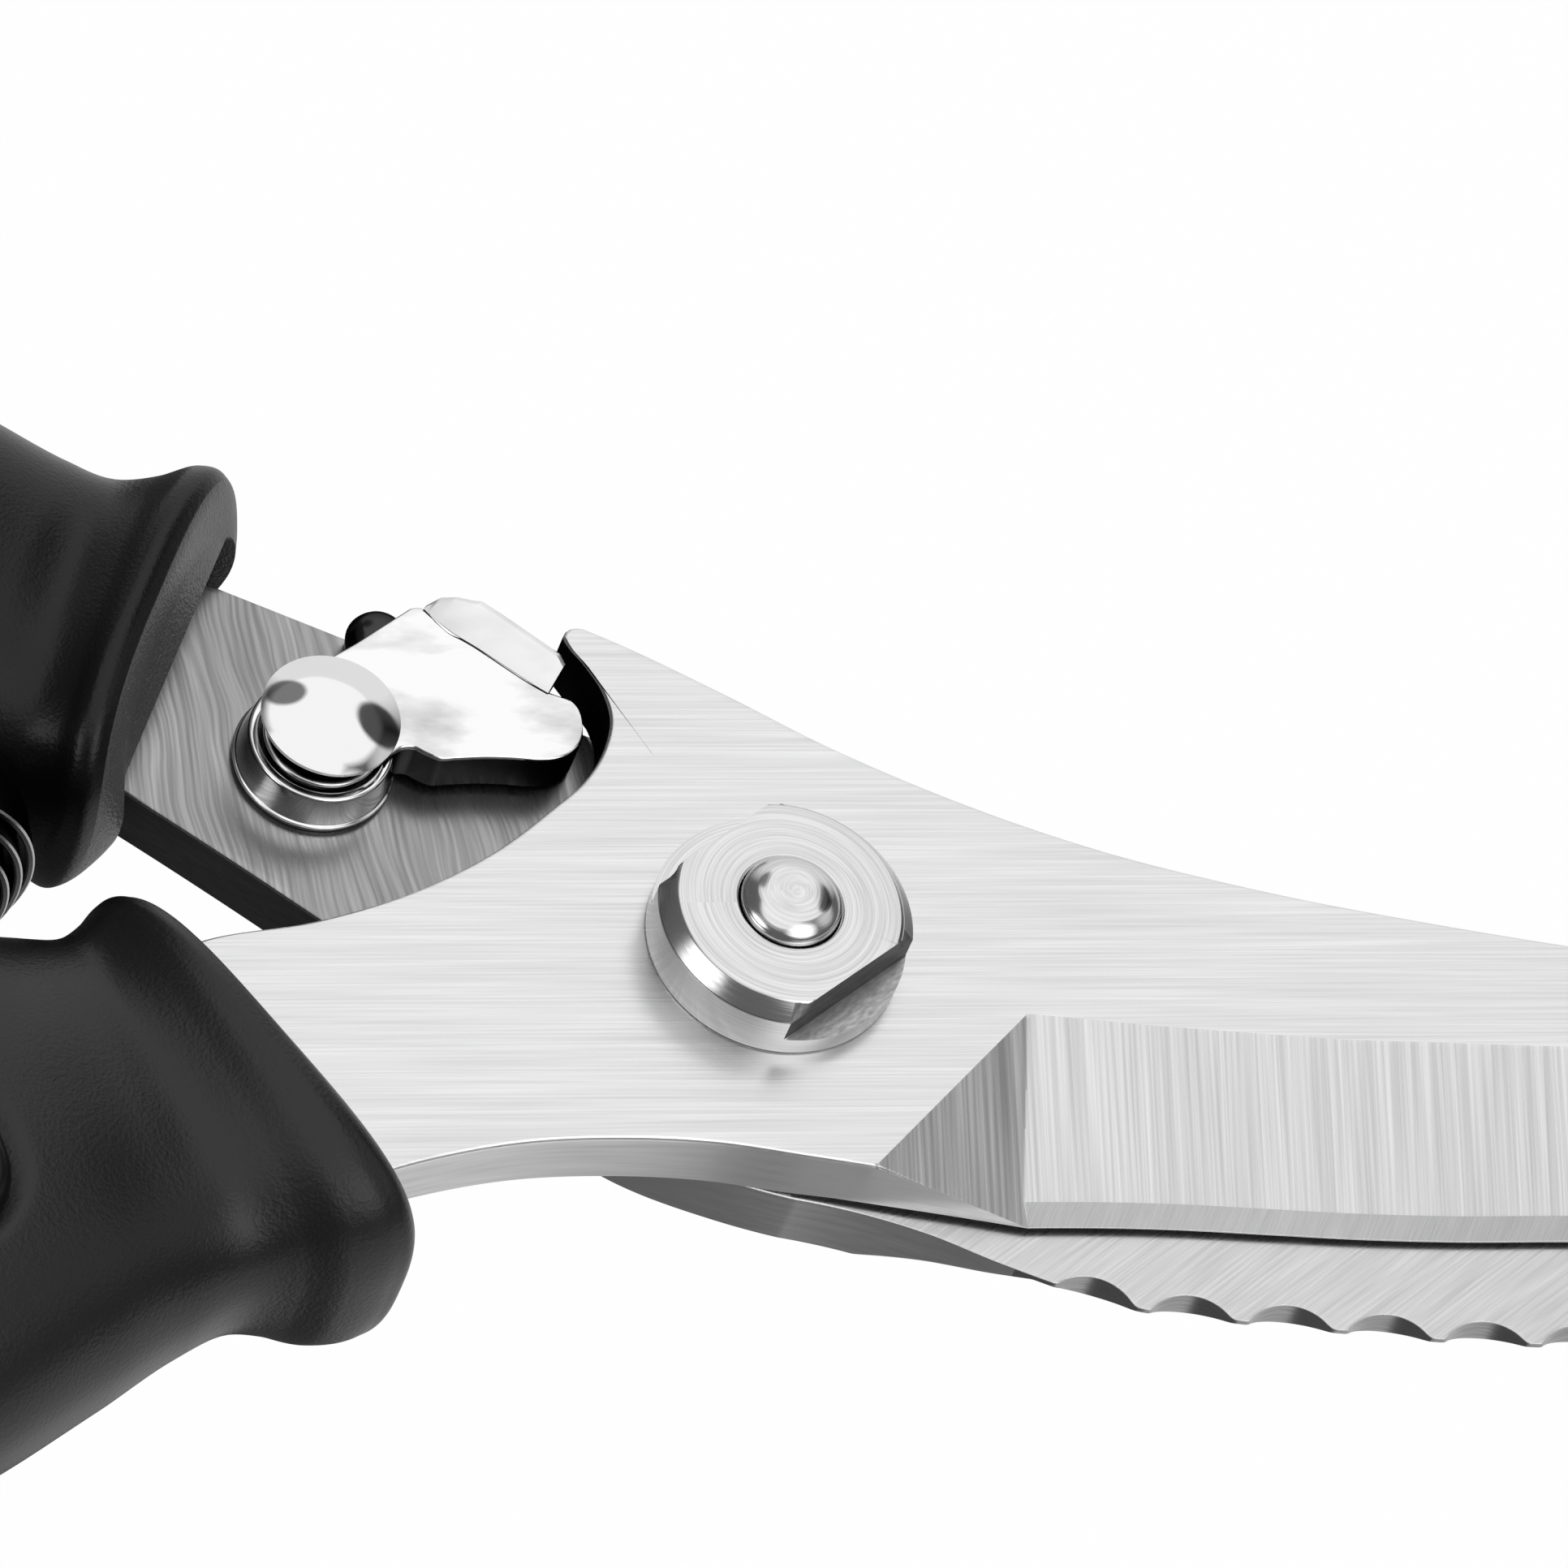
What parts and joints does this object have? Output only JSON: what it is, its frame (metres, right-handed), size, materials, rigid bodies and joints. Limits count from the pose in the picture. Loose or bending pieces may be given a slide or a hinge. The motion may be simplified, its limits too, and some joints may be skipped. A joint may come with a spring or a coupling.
{
  "type": "poultry shears",
  "caption": "Spring-loaded poultry shears with a notched serrated lower blade, a thumb latch at the pivot and two soft-grip handles, closed and locked",
  "frame": {"origin": "centre of the pivot bolt's flat head, on its outer face behind the blades", "axes": "+X towards the blade tips, +Y from the lower handle to the upper handle, +Z out of the flat of the blades, towards the nut and the latch"},
  "size_m": [0.2559, 0.0843, 0.0196],
  "materials": {
    "blade_steel": "satin, ground along the blade, with fine grinding lines across the bevels",
    "turned_steel": "turned, with fine concentric lines",
    "chrome_steel": "mirror polished",
    "spring_steel": "dark oiled strip with bright edges",
    "grip_rubber": "satin, fine grain",
    "inlay_rubber": "smooth satin",
    "core_plastic": "matte black"
  },
  "bodies": {
    "rear_half": {"rear_blade": "blade_steel", "pivot_bolt": "turned_steel", "pivot_nut": "turned_steel", "pivot_spring_washer": "turned_steel", "latch_stud": "chrome_steel", "latch_washer": "turned_steel", "latch_spring_ring": "chrome_steel", "upper_core": "core_plastic", "upper_grip": "grip_rubber", "upper_inlay": "inlay_rubber", "spring_peg_upper": "turned_steel", "volute_spring": "spring_steel"},
    "front_half": {"front_blade": "blade_steel", "lower_core": "core_plastic", "lower_grip": "grip_rubber", "lower_inlay": "inlay_rubber", "spring_peg_lower": "turned_steel"},
    "latch": {"latch_lever": "chrome_steel"}
  },
  "joints": [
    {"name": "blade_pivot", "type": "hinge", "parent": "rear_half", "child": "front_half", "pos_m": [0, 0, 0], "axis": [0, 0, 1], "range_deg": [0, 38], "deforming": ["volute_spring"]},
    {"name": "latch_pivot", "type": "hinge", "parent": "rear_half", "child": "latch", "pos_m": [-0.0216, 0.0135, 0], "axis": [0, 0, 1], "range_deg": [0, 57]}
  ],
  "couplings": [
    {"joint": "latch_pivot", "follows": "blade_pivot", "ratio": 1.5}
  ]
}
